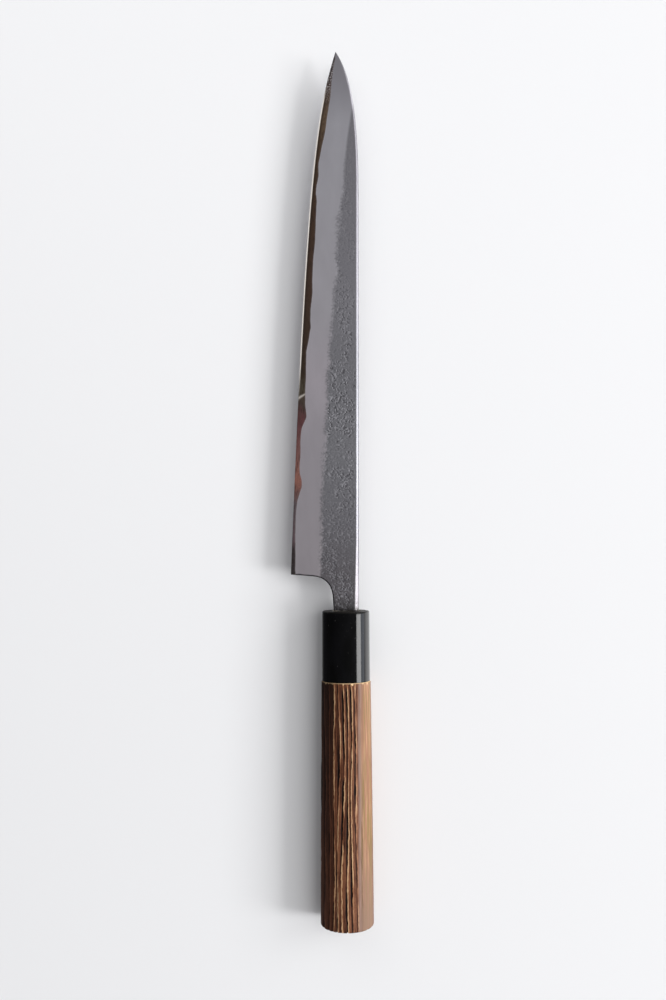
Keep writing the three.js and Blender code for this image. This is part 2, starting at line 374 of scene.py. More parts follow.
notchOutline = resample(notchLine(heelX), np.linspace(0, 1, 500))
edgeY = np.linspace(heelY, tipY - bladeForm["tipBlunt"], 1600)  # places along the edge
farAway = 1e3  # stands for any distance that doesn't matter


# Distance from points to the notch's outline: the least over its sampled points, only near it
def notchDistance(x, y):
    away = np.full(x.shape, farAway)
    near = y < heelY + bladeForm["notchReach"]
    gap = np.hypot(x[near][:, None] - notchOutline[:, 0], y[near][:, None] - notchOutline[:, 1])
    away[near] = gap.min(axis=1)
    return away


zoneLimits = {"low": 0.3, "top": 0.4, "flat": 0.6}  # where zones end at most, as shares of a row


# Grid between a lower line and the spine: rows run from evenly spaced points of the line to
# points of the spine that advance at the same share, and the columns are spread over four
# zones: low strip, bevel, flat and spine
def bladeGrid(lower, form):
    share = np.linspace(0, 1, form["rows"])
    bottom = resample(lower, share)
    topY = bottom[0, 1] + share * (bottom[-1, 1] - bottom[0, 1])
    top = np.column_stack([spineAt(topY), topY])
    long = np.linalg.norm(top - bottom, axis=1)[:, None]
    lowEnd = np.minimum(form["lowZone"] / long, zoneLimits["low"])
    topStart = 1 - np.minimum(form["topZone"] / long, zoneLimits["top"])
    flatLine = edgeAt(bottom[:, 1]) + bevelWidthAt(bottom[:, 1]) - form["flatLead"]
    flatStart = ((flatLine - bottom[:, 0]) / (top[:, 0] - bottom[:, 0]))[:, None]
    evenShare = form["bevelColumns"] / (form["bevelColumns"] + form["flatColumns"])
    flatStart = np.clip(flatStart, lowEnd + (topStart - lowEnd) * evenShare, zoneLimits["flat"])
    zones = (
        (0, lowEnd, "lowColumns"),
        (lowEnd, flatStart, "bevelColumns"),
        (flatStart, topStart, "flatColumns"),
    )
    across = [
        start + (end - start) * np.linspace(0, 1, form[key], endpoint=False)
        for start, end, key in zones
    ]
    across.append(topStart + (1 - topStart) * np.sin(np.linspace(0, np.pi / 2, form["topColumns"])))
    across = np.hstack(across)[..., None]
    return bottom[:, None, :] * (1 - across) + top[:, None, :] * across


# Share of the full thickness left by rounding: a quarter ellipse over the given distance from
# the outline
def roundedShare(distance, size):
    inward = np.clip(distance / size, 0, 1)
    return np.sqrt(np.clip(1 - (1 - inward) ** 2, 0, 1))


# Distance to the spine at (x, y): the height below it, shortened by the slope of the spine
def spineDistance(x, y):
    step = tableStep / 2
    slope = (spineAt(y + step) - spineAt(y - step)) / tableStep
    return (spineAt(np.minimum(y, tipY)) - x) / np.sqrt(1 + slope**2)


# Closed plate from an upper grid and a lower one: two skins, the two long walls and the two end faces
def platePiece(upper, lower):
    rows, columns = upper.shape[:2]
    lowColumns = lower.shape[1]
    first = rows * columns
    upNumbers = np.arange(first).reshape(rows, columns)
    lowNumbers = first + np.arange(rows * lowColumns).reshape(rows, lowColumns)
    quads = [gridQuads(rows, columns), gridQuads(rows, lowColumns, first)[:, ::-1]]
    for side, turn in ((0, -1), (-1, 1)):
        a, b = upNumbers[:-1, side], upNumbers[1:, side]
        c, d = lowNumbers[1:, side], lowNumbers[:-1, side]
        quads.append(np.column_stack([a, b, c, d])[:, ::turn])
    faces = np.vstack(quads)[:, ::-1].tolist()
    faces.append(np.concatenate([upNumbers[0], lowNumbers[0, ::-1]]).tolist())
    faces.append(np.concatenate([upNumbers[-1, ::-1], lowNumbers[-1]]).tolist())
    return np.vstack([upper.reshape(-1, 3), lower.reshape(-1, 3)]), faces


# Cladding: satin bevels and pitted flats

claddingForm = {
    "rows": 1200, "lowZone": 0.8, "lowColumns": 5, "bevelColumns": 6, "flatLead": 1.6,
    "flatColumns": 50, "topZone": 2.5, "topColumns": 12,
    "pitDepth": 0.06, "wormDepth": 0.012, "speckRise": 0.04, "wallAway": 0.45,
    # cell sizes across and along, and the ranges of noise that make a pit, a speck or a worm
    "pitCell": (0.56, 0.6), "pitRange": (0.65, 0.8), "speckRange": (0.7, 0.83),
    "wormCell": (0.6, 0.7), "wormWidth": 0.26, "shiftCell": 1.7,
    # smooth zones: cell sizes, range of noise, how far they gather at the spine, least and added grain
    "zoneCells": ((6, 13), (2.6, 4.5)), "zoneRange": (0.34, 0.58), "spineRange": (1.5, 7),
    "spineGather": 0.06, "zoneLeast": 0.28, "zoneMore": 0.8,
    # pits of the flat: place along the blade and how strong they are there
    "grainLine": (
        (0, 0.8), (14, 0.8), (30, 0.7), (41, 0.55), (52, 0.8), (66, 1.3), (112, 1.2), (130, 0.75),
        (146, 0.6), (165, 0.5), (182, 0.4), (205, 0.2), (230, 0.0),
    ),
    # bevel line: how ragged and in which cell sizes, where that fades out toward the tip, and half
    # its width at tip and heel
    "lineRagged": 0.7, "raggedCells": ((0.6, 0.6), (4, 6)), "raggedEnd": (220.0, 180.0),
    "lineSoft": (0.6, 1.3),
    "grainFrom": (0.1, 0.9),  # the grain begins this far below the spine's strip
    "notchClear": (0.3, 1.2), "notchShade": (0.75, 0.3),  # no relief, and painted dark shade beside the notch
}


# Pear-skin relief from 0 to 1: pits where a fine noise is high, specks where another is and on
# the pits' walls that face the spine, where their pale colour is a painted highlight of the light from
# that side, and thin winding valleys where a third crosses its middle, all thinned out in smooth zones,
# which are wider toward the spine
def pearSkin(x, y, spineAway, seed):
    form = claddingForm
    (wideX, wideY), (smallX, smallY) = form["zoneCells"]
    zone = latticeNoise(x / wideX, y / wideY, seed) * 0.6
    zone = zone + latticeNoise(x / smallX, y / smallY, seed + 1) * 0.4
    gather = form["spineGather"] * (easeStep(*form["spineRange"], spineAway) - 0.5)
    zone = easeStep(*form["zoneRange"], zone + gather)
    grain = np.interp(y, *np.array(form["grainLine"], float).T)
    zone = (form["zoneLeast"] + form["zoneMore"] * zone) * grain
    shift = 0.5 * latticeNoise(x / form["shiftCell"], y / form["shiftCell"], seed + 5)
    wormX, wormY = form["wormCell"]
    winding = np.abs(2 * latticeNoise(x / wormX + shift, y / wormY - shift, seed + 2) - 1)
    worms = 1 - easeStep(0, form["wormWidth"], winding)
    pitX, pitY = form["pitCell"]
    pitNoise = lambda beside: latticeNoise((x + beside) / pitX - shift, y / pitY + shift, seed + 3)
    pits = easeStep(*form["pitRange"], pitNoise(0))
    specks = easeStep(*form["speckRange"], latticeNoise(x / pitX + shift, y / pitY + shift, seed + 4))
    # painted highlight: pale specks on the pits' walls toward the spine, the side the light comes from
    specks = np.maximum(specks, 0.8 * easeStep(*form["pitRange"], pitNoise(form["wallAway"])))
    return zone * pits, zone * worms, zone * specks


# One face of the blade: the plate between the core's plane and the bevel, flat and rounded spine,
# with the flat's relief taken off its height
def makeCladding(name, node, side, seed, material):
    form = claddingForm
    coreLine = np.column_stack([edgeAt(edgeY) + coreWidthAt(edgeY, side), edgeY])
    grid = bladeGrid(np.vstack([notchLine(coreLine[0, 0]), coreLine[1:]]), form)
    x, y = grid[..., 0], grid[..., 1]
    above = x - edgeAt(y)
    inner = coreHalfAt(y, side) + bladeForm["layerGap"]
    half = np.maximum(halfAt(y, above), inner + bladeForm["layerLeast"])
    spineAway, notchAway = spineDistance(x, y), notchDistance(x, y)
    spineSize = bladeForm["spineRound"] * flatHalf(y) / flatHalf(heelY + bladeForm["edgeLength"] / 2)
    strip = np.interp(y, *np.array(bladeForm["spineStrip"], float).T)
    slant = np.minimum(bladeForm["spineSlope"] * strip / (half - inner), bladeForm["slantMost"])
    slanted = slant * np.clip(1 - spineAway / strip, 0, 1)
    rounded = roundedShare(spineAway, spineSize) * (1 - slanted)
    notched = roundedShare(notchAway, bladeForm["notchRound"])
    notched = bladeForm["notchLeft"] + (1 - bladeForm["notchLeft"]) * notched
    height = inner + (half - inner) * rounded * notched

    raggedShare = easeStep(*form["raggedEnd"], y)
    (fineX, fineY), (slowX, slowY) = form["raggedCells"]
    ragged = latticeNoise(x / fineX, y / fineY, seed + 7) * 2 - 1
    ragged = ragged + latticeNoise(x / slowX, y / slowY, seed + 8) * 2 - 1
    soft = np.interp(raggedShare, [0, 1], form["lineSoft"])
    pastLine = above - bevelWidthAt(y) + form["lineRagged"] * ragged * raggedShare
    onFlat = easeStep(-1, 1, pastLine / soft)
    grained = easeStep(*form["grainFrom"], spineAway - strip)  # 0 on the spine's strip
    pits, worms, specks = (grained * layer for layer in pearSkin(x, y, spineAway, seed))
    relief = form["pitDepth"] * pits + form["wormDepth"] * worms - form["speckRise"] * specks
    height = height - relief * onFlat * easeStep(*form["notchClear"], notchAway)

    upper = np.dstack([x, y, side * height])
    under = np.dstack([x, y, side * inner])[:, [0, -1]]
    points, faces = platePiece(upper, under)
    if side < 0:
        faces = [face[::-1] for face in faces]
    spare = np.zeros(under.shape[:2]).ravel()
    # painted shade: dark beside the notch
    scale = easeStep(*form["notchShade"], notchAway)
    withUnder = lambda values, below: np.concatenate([values.ravel(), below.ravel()])
    layers = {
        "onFlat": withUnder(onFlat, spare + 1),
        "pits": withUnder(pits * onFlat, spare),
        "worms": withUnder(worms * onFlat, spare),
        "specks": withUnder(specks * onFlat, spare),
        "scale": withUnder(scale, scale[:, [0, -1]]),
        "grained": withUnder(grained, spare),
    }
    makePiece(name, points, faces, node, material, layers)


claddingLook = {
    # satin of the bevel and grey of the flat, as shares of the way from the heel to the tip
    "bevel": (
        (0.0, (0.684, 0.632, 0.671)), (0.26, (0.69, 0.646, 0.695)), (0.37, (0.785, 0.725, 0.785)),
        (0.5, (0.73, 0.705, 0.755)), (0.86, (0.695, 0.685, 0.74)), (0.926, (0.527, 0.515, 0.563)),
        (1.0, (0.43, 0.42, 0.46)),
    ),
    "flat": (
        (0.0, (0.174, 0.163, 0.175)), (0.1, (0.228, 0.222, 0.242)), (0.24, (0.268, 0.266, 0.287)),
        (0.38, (0.262, 0.259, 0.28)), (0.52, (0.297, 0.29, 0.317)), (0.7, (0.29, 0.282, 0.309)),
        (1.0, (0.29, 0.283, 0.31)),
    ),
    "haze": (0.4, 0.37, 0.4), "hazeShare": 0.2,
    # pale flecks of grit and specks; on the pits' walls that face the light the specks are a painted
    # highlight
    "fleck": (0.58, 0.57, 0.61), "gritShare": 0.18, "speckShare": 0.55,
    "pit": (0.075, 0.072, 0.08), "pitShare": 0.75, "wormShare": 0.1,
    # colour of the painted shade beside the notch
    "scale": (0.035, 0.033, 0.036),
    # painted shade at the foot of the neck by the ferrule, how strong it is and how far up it reaches
    "foot": (0.06, 0.056, 0.054), "footShare": 0.75, "footEnd": 8.0,
    "bevelRough": 0.34, "flatRough": 0.44, "brushedRough": 0.6,
}


def claddingSteel():
    material, tree = newMaterial("claddingSteel")
    look = claddingLook
    onFlat, pits, worms = (attributeOf(tree, name) for name in ("onFlat", "pits", "worms"))
    specks, scale = (attributeOf(tree, name) for name in ("specks", "scale"))
    share = rangeAlong(tree, heelY, tipY, 0, 1)
    haze = objectNoise(tree, (7, 22, 7), detail=4)
    haze = rangeOf(tree, haze, 0.35, 0.7, 0, look["hazeShare"])
    bevel = mixColours(tree, haze, rampOf(tree, share, look["bevel"]), look["haze"])
    grit = objectNoise(tree, (0.5, 0.7, 0.5), detail=2)
    grit = rangeOf(tree, grit, 0.54, 0.72, 0, look["gritShare"])
    flat = mixColours(tree, grit, rampOf(tree, share, look["flat"]), look["fleck"])
    # pale specks, partly a painted highlight on the pits' walls that face the light
    flat = mixColours(tree, rangeOf(tree, specks, 0, 1, 0, look["speckShare"]), flat, look["fleck"])
    flat = mixColours(tree, rangeOf(tree, worms, 0.3, 1, 0, look["wormShare"]), flat, look["pit"])
    flat = mixColours(tree, rangeOf(tree, pits, 0, 1, 0, look["pitShare"]), flat, look["pit"])
    # painted shade at the foot of the neck, in blotches
    foot = rangeAlong(tree, 0, look["footEnd"], look["footShare"], 0)
    blotch = rangeOf(tree, objectNoise(tree, (1.2, 1.6, 1.2), detail=3), 0.35, 0.6, 0.4, 1.3)
    foot = mathOf(tree, "MULTIPLY", foot, blotch, clamp=True)
    flat = mixColours(tree, foot, flat, look["foot"])
    colour = mixColours(tree, onFlat, bevel, flat)
    # painted shade beside the notch
    colour = mixColours(tree, scale, colour, look["scale"])
    brushed = objectNoise(tree, (0.12, 3.5, 0.12), detail=2)
    rough = mixColours(tree, onFlat, (look["bevelRough"],) * 3, (look["flatRough"],) * 3)
    brushed = rangeOf(tree, brushed, 0.3, 0.7, 0, 0.2)
    rough = mixColours(tree, brushed, rough, (look["brushedRough"],) * 3)
    fine = objectNoise(tree, (0.3, 0.4, 0.3), detail=3)
    fine = mathOf(tree, "MULTIPLY", fine, attributeOf(tree, "grained"))
    links = {"Base Color": colour, "Roughness": rough, "Normal": bumpOf(tree, fine, 0.2, 0.05)}
    finishMaterial(tree, {"Metallic": 1.0}, links)
    return material


# Core: the dark plate whose ground sides show as a band along the edge

coreForm = {
    "rows": 880, "lowZone": 4.6, "lowColumns": 26, "bevelColumns": 2, "flatLead": 1.6,
    "flatColumns": 3, "topZone": 1.2, "topColumns": 4,
    # the honed strip at the edge: half its thickness at the very edge and its slope, and the width of its
    # painted glint
    "edgeHalf": 0.012, "honedSlope": 0.3, "glintWidth": 0.62,
    # where along the blade the strip's painted glint shows, and over which lengths it comes and goes
    "glintFrom": 108.0, "glintTo": 240.0, "glintStart": (-14, 8), "glintStop": (4, -8),
    "darkRange": (2.0, 0.9),  # painted shade above the strip fades out between these heights
    # a painted glint across the band: place, slant, width at the edge and higher up, strength, top
    "markPlace": 97.7, "markSlant": 0.58, "markWidth": 0.8, "markEnd": 0.4, "markHeight": 3.0,
    "markShare": 0.55, "markTop": (4, 2.5),
    "rimWidth": 0.7, "rimPast": 0.1,  # the band turns paler toward the cladding over this width
    "notchShadeRange": (0.6, 0.1), "notchShadeFrom": (3, 6),  # painted dark shade beside the notch, above these heights
}


# The core plate: its half thickness is the least of the core's plane, the bevel and the honed strip
def makeCore(material):
    form = coreForm
    edge = np.column_stack([edgeAt(edgeY), edgeY])
    grid = bladeGrid(np.vstack([notchLine(heelX), edge[1:]]), form)
    x, y = grid[..., 0], grid[..., 1]
    above = np.clip(x - edgeAt(y), 0, None)
    ground = np.minimum(halfAt(y, above), form["edgeHalf"] + form["honedSlope"] * above)
    upper = np.dstack([x, y, np.minimum(coreHalfAt(y, 1), ground)])
    under = np.dstack([x, y, -np.minimum(coreHalfAt(y, -1), ground)])
    points, faces = platePiece(upper, under)
    # painted glint: the honed strip is made pale only over this part of the blade
    along = easeStep(*form["glintStart"], y - form["glintFrom"])
    along = along * easeStep(*form["glintStop"], y - form["glintTo"])
    bright = easeStep(form["glintWidth"], form["glintWidth"] / 2, above) * along
    # a painted slanted glint across the band
    markWide = np.interp(above, [0, form["markHeight"]], [form["markWidth"], form["markEnd"]])
    beside = (y - form["markPlace"] - form["markSlant"] * above) / markWide
    mark = form["markShare"] * np.exp(-beside**2) * easeStep(*form["markTop"], above)
    # painted shade: dark beside the notch, high enough above the edge
    scale = easeStep(*form["notchShadeRange"], notchDistance(x, y)) * easeStep(*form["notchShadeFrom"], above)
    # painted shade just above the glint strip
    dark = easeStep(*form["darkRange"], above) * along
    # painted glint on the strip and across the band, painted shade above the strip and beside the notch
    layers = {"paintedGlint": np.maximum(bright, mark), "scale": scale, "dark": dark}
    layers = {name: np.tile(values.ravel(), 2) for name, values in layers.items()}
    rimOf = lambda side: easeStep(-form["rimWidth"], form["rimPast"], above - coreWidthAt(y, side))
    layers["rim"] = np.concatenate([rimOf(side).ravel() for side in (1, -1)])
    makePiece("core_edge", points, faces, "core_steel", material, layers)


coreLook = {
    # patina and painted reflections of the room along the blade, as shares of the way from the heel to
    # the tip
    "patinaAndReflection": (
        (0.0, (0.09, 0.078, 0.08)), (0.045, (0.1, 0.082, 0.086)), (0.07, (0.27, 0.19, 0.21)),
        (0.13, (0.25, 0.2, 0.21)), (0.155, (0.36, 0.19, 0.17)), (0.18, (0.62, 0.28, 0.22)),
        (0.23, (0.42, 0.21, 0.19)), (0.29, (0.27, 0.115, 0.12)), (0.325, (0.15, 0.105, 0.09)),
        (0.355, (0.16, 0.135, 0.095)), (0.39, (0.1, 0.07, 0.05)), (0.55, (0.13, 0.082, 0.062)),
        (0.7, (0.13, 0.08, 0.055)), (0.8, (0.15, 0.1, 0.068)), (0.875, (0.26, 0.178, 0.115)),
        (0.905, (0.2, 0.14, 0.105)), (0.93, (0.17, 0.12, 0.108)), (0.955, (0.14, 0.115, 0.118)),
        (1.0, (0.15, 0.135, 0.145)),
    ),
    "patinaAndReflectionShift": 0.05,  # the patina and painted reflections wander by this share of the blade
    # where specks lie, as shares of the way from the heel to the tip
    "speckled": ((0.9, (0, 0, 0)), (0.93, (1, 1, 1)), (0.965, (1, 1, 1)), (0.985, (0, 0, 0))),
    "speck": (0.75, 0.7, 0.7), "speckShare": 0.9, "rim": (0.5, 0.43, 0.44), "rimShare": 0.3,
    "stain": (0.06, 0.042, 0.036), "stainShare": 0.7, "darkShare": 0.6,
    # colour of the painted glint and of the painted shade beside the notch, then roughness and metal
    # where the glint is
    "paintedGlint": (0.95, 0.89, 0.82), "scale": (0.035, 0.033, 0.036),
    "rough": 0.26, "glintRough": 0.6, "glintMetal": 0.25,
}


def coreSteel():
    material, tree = newMaterial("coreSteel")
    look = coreLook
    paintedGlint, dark, rim, scale = (attributeOf(tree, name) for name in ("paintedGlint", "dark", "rim", "scale"))
    share = rangeAlong(tree, heelY, tipY, 0, 1)
    wander = objectNoise(tree, (2.5, 6, 2.5), detail=3)
    shift = mathOf(tree, "MULTIPLY_ADD", wander, look["patinaAndReflectionShift"], -look["patinaAndReflectionShift"] / 2)
    # patina and painted reflections of the room, by place along the blade
    colour = rampOf(tree, mathOf(tree, "ADD", share, shift), look["patinaAndReflection"])
    blotch = objectNoise(tree, (1.0, 3.5, 1.0), detail=4)
    stain = rangeOf(tree, blotch, 0.48, 0.72, 0, look["stainShare"])
    colour = mixColours(tree, stain, colour, look["stain"])
    colour = mixColours(tree, rangeOf(tree, rim, 0, 1, 0, look["rimShare"]), colour, look["rim"])
    specks = objectNoise(tree, (0.5, 0.6, 0.5), detail=1)
    specks = rangeOf(tree, specks, 0.52, 0.62, 0, look["speckShare"])
    specks = mixColours(tree, 1.0, specks, rampOf(tree, share, look["speckled"]), "MULTIPLY")
    colour = mixColours(tree, specks, colour, look["speck"])
    # painted shade darkens the band just above the glint strip, in the stain's colour
    colour = mixColours(tree, rangeOf(tree, dark, 0, 1, 0, look["darkShare"]), colour, look["stain"])
    # painted glint on the honed strip and across the band: pale and less metallic
    colour = mixColours(tree, paintedGlint, colour, look["paintedGlint"])
    # painted shade beside the notch
    colour = mixColours(tree, scale, colour, look["scale"])
    rough = rangeOf(tree, blotch, 0.3, 0.7, look["rough"], look["rough"] + 0.12)
    rough = mixColours(tree, paintedGlint, rough, (look["glintRough"],) * 3)
    bump = bumpOf(tree, objectNoise(tree, (0.5, 2.5, 0.5), detail=2), 0.15, 0.03)
    metal = rangeOf(tree, paintedGlint, 0, 1, 1, look["glintMetal"])
    links = {"Base Color": colour, "Roughness": rough, "Metallic": metal, "Normal": bump}
    finishMaterial(tree, {}, links)
    return material


# Handle wood: an oval taper, burnt and brushed so that the soft grain is sunk

woodForm = {
    "frontWidth": 22.6, "buttWidth": 24.4, "swell": 0.16, "chamfer": 0.4, "buttRound": 1.4,
    "glueLine": 0.15, "angles": 440, "stations": 158, "buttRings": 32,
    "crowding": 0.2,  # the points crowd on the broad faces
    # bare wood at the joint: longest and least reach, noise that makes a spike, soft end, and where
    # across it grows full; its fading toward the left is painted shade
    "fringe": 1.1, "fringeLeast": 0.25, "spikeRange": (0.55, 0.9), "fringeSoft": (0.1, -0.15),
    "fringeAcross": (-9, 3),
    "limbRange": (0.93, 0.985),  # the shade at the right outline, in shares of the radius
    "ringSpacing": 2.1, "ringLean": 0.08,
    # bends of the growth rings: how far, cell sizes across and along, seed of the noise
    "bends": ((2.2, 7, 60, 21), (0.9, 3, 28, 22), (0.18, 1.5, 8, 23), (0.06, 0.8, 1.8, 37)),
    "grooveDepth": 0.45, "fibreDepth": 0.06,  # how deep the grooves and the fibre of the sides lie
    # how deep grooves cut into the butt's rim, and where they begin and are full, in shares of its radius
    "endDepth": 0.5, "endRange": (0.3, 0.85),
    "plainTone": 0.4,  # tone of wood without grain
    # places across over which the open grain gives way to the left side, the band of painted sheen and
    # the right side
    "leftFlank": (-5.4, -6.6), "bandStart": (4.8, 6.2), "rightFlank": (5.6, 8.2), "flankDrift": 0.9,
    "leftClosed": 0.68, "rightClosed": 0.85,  # how closed the grain is there
    "calmFront": (3.6, 0.8), "calmShare": 0.5,  # the grain is calmer this near to the ferrule
}


# Oval rings: (radius cos t, y, flatness radius sin t) for every radius and place of a profile,
# with the turns t shifted by a sine of twice the turn, so that they crowd above and below
def ovalRings(radius, y, angles, crowding=0.0):
    even = np.linspace(0, 2 * np.pi, angles, endpoint=False)[None, :]
    turn = even + crowding * np.sin(2 * even)
    radius = np.broadcast_to(radius[:, None] if radius.ndim == 1 else radius, (len(y), angles))
    height = ovalFlatness * radius * np.sin(turn)
    return np.dstack([radius * np.cos(turn), np.broadcast_to(y[:, None], radius.shape), height])


# Faces of a stack of rings with a point at each end
def ringFaces(rings, angles):
    side = gridQuads(rings, angles, 0, closed=True)
    numbers = np.arange(angles)
    after = np.roll(numbers, -1)
    last = (rings - 1) * angles
    firstPole, lastPole = rings * angles, rings * angles + 1
    start = np.column_stack([np.full(angles, firstPole), after, numbers])
    end = np.column_stack([np.full(angles, lastPole), last + numbers, last + after])
    return side.tolist() + start.tolist() + end.tolist()


# Open grain of growth rings: the ring coordinate is the place across, x, bent by slow noise. In
# each ring a sunk groove comes first, a worn ridge beside it and plain wood after; each ring has
# its own slowly changing widths and wear. Given back: depth of the groove, tone of the wood and
# its fibre, all from 0 to 1
def woodGrain(x, y, z):
    form = woodForm
    bend = sum(
        far * (latticeNoise(x / wide, y / long, seed) - 0.5) for far, wide, long, seed in form["bends"]
    )
    ring = (x + form["ringLean"] * z + bend) / form["ringSpacing"] + 40
    number = np.floor(ring)
    share = ring - number
    own = lambda seed, long: latticeNoise(number * 3.7 + 0.5, y / long, seed)
    wide = 0.12 + 0.42 * own(24, 20)
    wide = wide + 0.13 * (latticeNoise(ring * 3, y / 2.4, 31) - 0.5)
    wide = wide + 0.1 * (latticeNoise(ring * 5, y / 0.9, 34) - 0.5)
    hollow = easeStep(wide + 0.06, wide - 0.06, share) * easeStep(0, 0.1, share)
    groove = hollow * easeStep(0.28, 0.62, own(25, 8))
    ridge = easeStep(wide, wide + 0.08, share) * easeStep(wide + 0.34, wide + 0.15, share)
    ridge = ridge * easeStep(1.0, 0.9, share)
    beads = latticeNoise(ring * 1.5, y / 1.7, 38)
    worn = (0.16 + 0.62 * easeStep(0.1, 0.75, own(29, 14))) * (0.6 + 0.8 * beads)
    fibre = latticeNoise(ring * 6, y / 7, 27) * 0.6 + latticeNoise(ring * 13, y / 3, 28) * 0.4
    lines = easeStep(0.5, 0.85, latticeNoise(ring * 2.6, y / 24, 36))
    tone = form["plainTone"] + 1.18 * ridge * worn - 0.18 * hollow - 0.36 * groove
    tone = tone - 0.14 * lines + 0.4 * (fibre - 0.5)
    return groove, np.clip(tone, 0, 1), fibre


# The handle: oval rings from the front's chamfer down a swelling taper and round the butt, with
# every point sunk toward the axis by the depth of the grain there, and on the butt's rim forward
def makeWood(material):
    form = woodForm
    front = jointY - form["glueLine"]
    sideY = np.linspace(front - form["fringe"], buttY + form["buttRound"], form["stations"])
    fringeY = np.linspace(front - form["chamfer"], front - form["fringe"], 9)[:-1]
    sideY = np.concatenate([fringeY, sideY])
    share = (sideY - buttY) / (front - buttY)
    sideWidth = form["buttWidth"] * (1 - share) + form["frontWidth"] * share
    sideWidth = sideWidth + form["swell"] * 4 * share * (1 - share)
    turn = np.linspace(0, np.pi / 2, 9)[1:]
    endRadius = sideWidth[-1] / 2 - form["buttRound"] * (1 - np.cos(turn))
    endY = buttY + form["buttRound"] * (1 - np.sin(turn))
    faceShares = np.linspace(1, 0, form["buttRings"] + 2)[1:-1]
    radius = np.concatenate([
        sideWidth[0] / 2 * np.array([0.3, 0.8]),
        sideWidth[0] / 2 - form["chamfer"] * np.array([1.0, 0.5]),
        sideWidth / 2, endRadius, endRadius[-1] * faceShares,
    ])
    y = np.concatenate([
        [front, front, front, front - form["chamfer"] / 2],
        sideY, endY, np.full(len(faceShares), buttY),
    ])
    plain = ovalRings(radius, y, form["angles"], form["crowding"])
    across = plain[..., 0]
    groove, tone, fibre = woodGrain(across, plain[..., 1], plain[..., 2])

    # the sides where the grain is closed, and their colours: painted shade on the left side, a painted
    # sheen in the band and painted light on the right side
    drift = across + form["flankDrift"] * (latticeNoise(y / 18, y * 0 + 0.5, 35) - 0.5)[:, None]
    right = easeStep(*form["rightFlank"], drift)
    onSide = easeStep(0, 0.3, y - buttY)[:, None]  # 0 on the butt's face, whose grain is open all over
    left = easeStep(*form["leftFlank"], drift) * onSide
    sheenBand = easeStep(*form["bandStart"], drift) * (1 - right) * onSide
    right = right * onSide
    closed = np.maximum(form["leftClosed"] * left, form["rightClosed"] * np.maximum(sheenBand, right))
    openShare = 1 - closed
    calm = easeStep(*form["calmFront"], front - y)[:, None]
    plainTone = form["plainTone"]
    tone = plainTone + (tone - plainTone) * openShare * (1 - form["calmShare"] * calm)

    # the relief
    sunk = form["grooveDepth"] * groove * (1 - calm) + form["fibreDepth"] * (1 - fibre)
    sunk = sunk * openShare * (easeStep(0, 0.5, front - y) * (y > buttY + 1e-6))[:, None]
    rings = ovalRings(radius[:, None] - sunk, y, form["angles"], form["crowding"])
    rimShare = easeStep(*form["endRange"], radius / (form["buttWidth"] / 2))
    rimShare = rimShare * easeStep(form["buttRound"] + 0.3, 0.2, y - buttY)
    rings[..., 1] += form["endDepth"] * rimShare[:, None] * groove * openShare
    poles = np.array([[0, front, 0], [0, buttY, 0]])
    points = np.vstack([rings.reshape(-1, 3), poles])

    # bare wood at the joint, with spikes along the grain, and the shade at the right outline
    spikes = latticeNoise(across / 0.5, across * 0, 33) * 0.5
    spikes = spikes + latticeNoise(across / 1.3, across * 0, 39) * 0.5
    reach = form["fringeLeast"] + form["fringe"] * easeStep(*form["spikeRange"], spikes)
    bare = easeStep(*form["fringeSoft"], (front - y)[:, None] - reach)
    # painted shade: the bare wood is full toward the right and dimmer toward the left
    bare = bare * (0.35 + 0.65 * easeStep(*form["fringeAcross"], across))
    limb = easeStep(*form["limbRange"], across / radius[:, None])
    tone = np.clip(tone, 0, 1)
    layers = {"tone": tone, "bare": bare, "left": left, "sheenBand": sheenBand, "right": right, "limb": limb}
    atPoles = {"tone": [plainTone, plainTone], "bare": [1, 0]}
    for name, values in layers.items():
        layers[name] = np.append(values.ravel(), atPoles.get(name, [0, 0]))
    faces = ringFaces(len(radius), form["angles"])
    makePiece("burnt_handle", points, faces, "handle_wood", material, layers)


woodLook = {
    "tone": (
        (0.0, (0.005, 0.0015, 0.0008)), (0.16, (0.017, 0.005, 0.0022)), (0.34, (0.094, 0.0315, 0.0146)),
        (0.52, (0.203, 0.079, 0.038)), (0.72, (0.35, 0.172, 0.087)), (1.0, (0.53, 0.33, 0.18)),
    ),
    "fibreTone": 0.24, "fleckTone": 0.2,  # how far fibre and flecks change the tone
    "leftTop": 0.41, "leftEnd": 0.74,  # share of its tone that the left side keeps: burnt, and darkened as painted shade
    # the band's grey-pink is a painted sheen
    "sheenBand": (0.285, 0.186, 0.15), "bandLine": (0.15, 0.083, 0.056),
    # the right side's colours: its own streaked tan, made paler as painted light from the lamps' side
    "right": (0.32, 0.162, 0.096), "ochre": (0.245, 0.16, 0.064), "pale": (0.455, 0.25, 0.149),
    "rightLine": (0.2, 0.105, 0.06), "rightEnd": (0.24, 0.15, 0.108), "limb": (0.18, 0.1, 0.082),
    "bareWood": (0.78, 0.55, 0.31), "rough": 0.5,
}


